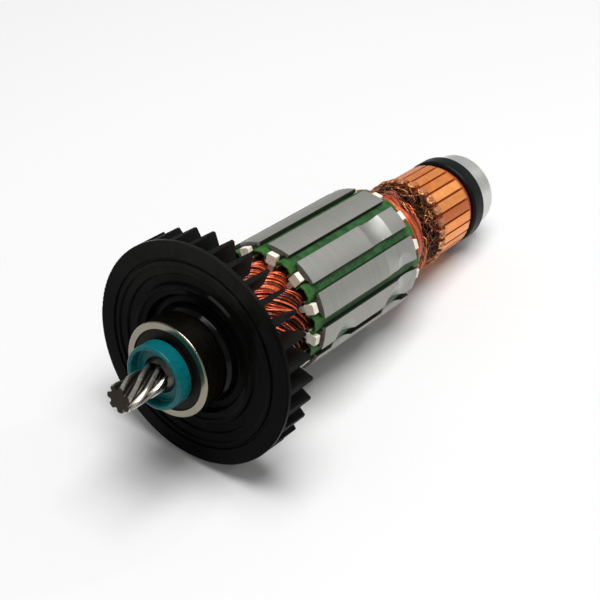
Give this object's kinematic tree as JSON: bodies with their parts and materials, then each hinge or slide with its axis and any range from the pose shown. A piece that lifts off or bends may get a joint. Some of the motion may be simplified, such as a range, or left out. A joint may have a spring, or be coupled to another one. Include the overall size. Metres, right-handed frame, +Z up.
{
  "type": "motor armature",
  "caption": "Wound motor rotor with a helical pinion on its shaft, a moulded fan, a slotted core, a copper commutator and a ball bearing near each end.",
  "frame": {"origin": "centre of the bounding box's bottom face, on the surface that the rotor lies on", "axes": "+X along the rotor from the pinion towards the rear bearing (the axis itself dips 8.6 degrees towards the rear as it lies), +Z up"},
  "size_m": [0.1462, 0.057, 0.0576],
  "materials": {
    "shaft_steel": "ground, oiled",
    "sleeve_plastic": "moulded",
    "teal_plastic": "moulded, soft sheen",
    "bearing_steel": "ground",
    "ball_steel": "polished",
    "cage_nylon": "moulded",
    "seal_rubber": "moulded rubber",
    "shield_steel": "pressed",
    "fan_plastic": "moulded, glossy",
    "core_steel": "turned laminations",
    "cream_plastic": "moulded",
    "liner_paper": "varnished paper",
    "wedge_green": "varnished fibre strip",
    "enamelled_copper": "enamelled wire, varnished",
    "commutator_copper": "turned",
    "hub_phenolic": "moulded",
    "bush_steel": "turned",
    "dust_ring_plastic": "moulded"
  },
  "bodies": {
    "rotor": {"armature_winding": "enamelled_copper", "commutator_bars": "commutator_copper", "commutator_bush": "bush_steel", "commutator_hub": "hub_phenolic", "core_stack": "core_steel", "dust_ring": "dust_ring_plastic", "fan": "fan_plastic", "fan_blades": "fan_plastic", "front_bearing_inner_ring": "bearing_steel", "front_end_insulator": "cream_plastic", "rear_bearing_inner_ring": "bearing_steel", "rear_end_insulator": "cream_plastic", "shaft_sleeve": "sleeve_plastic", "shaft_with_pinion": "shaft_steel", "slot_liners": "liner_paper", "slot_wedges": "wedge_green", "teal_ring": "teal_plastic", "winding_leads": "enamelled_copper"},
    "front_bearing_outer": {"front_bearing_outer_ring": "bearing_steel", "front_bearing_front_seal": "seal_rubber", "front_bearing_rear_seal": "seal_rubber"},
    "front_bearing_cage_set": {"front_bearing_balls": "ball_steel", "front_bearing_cage": "cage_nylon"},
    "rear_bearing_outer": {"rear_bearing_outer_ring": "bearing_steel", "rear_bearing_front_shield": "shield_steel", "rear_bearing_rear_shield": "shield_steel"},
    "rear_bearing_cage_set": {"rear_bearing_balls": "ball_steel", "rear_bearing_cage": "cage_nylon"}
  },
  "joints": [
    {"name": "front_bearing_turn", "type": "hinge", "parent": "rotor", "child": "front_bearing_outer", "pos_m": [-0.05321, 0, 0.0302], "axis": [0.9888, 0, -0.1495], "continuous": true},
    {"name": "front_cage_turn", "type": "hinge", "parent": "rotor", "child": "front_bearing_cage_set", "pos_m": [-0.05321, 0, 0.0302], "axis": [0.9888, 0, -0.1495], "continuous": true},
    {"name": "rear_bearing_turn", "type": "hinge", "parent": "rotor", "child": "rear_bearing_outer", "pos_m": [0.06802, 0, 0.01188], "axis": [0.9888, 0, -0.1495], "continuous": true},
    {"name": "rear_cage_turn", "type": "hinge", "parent": "rotor", "child": "rear_bearing_cage_set", "pos_m": [0.06802, 0, 0.01188], "axis": [0.9888, 0, -0.1495], "continuous": true}
  ],
  "couplings": [
    {"joint": "front_cage_turn", "follows": "front_bearing_turn", "ratio": 0.6203},
    {"joint": "rear_cage_turn", "follows": "rear_bearing_turn", "ratio": 0.6323}
  ]
}
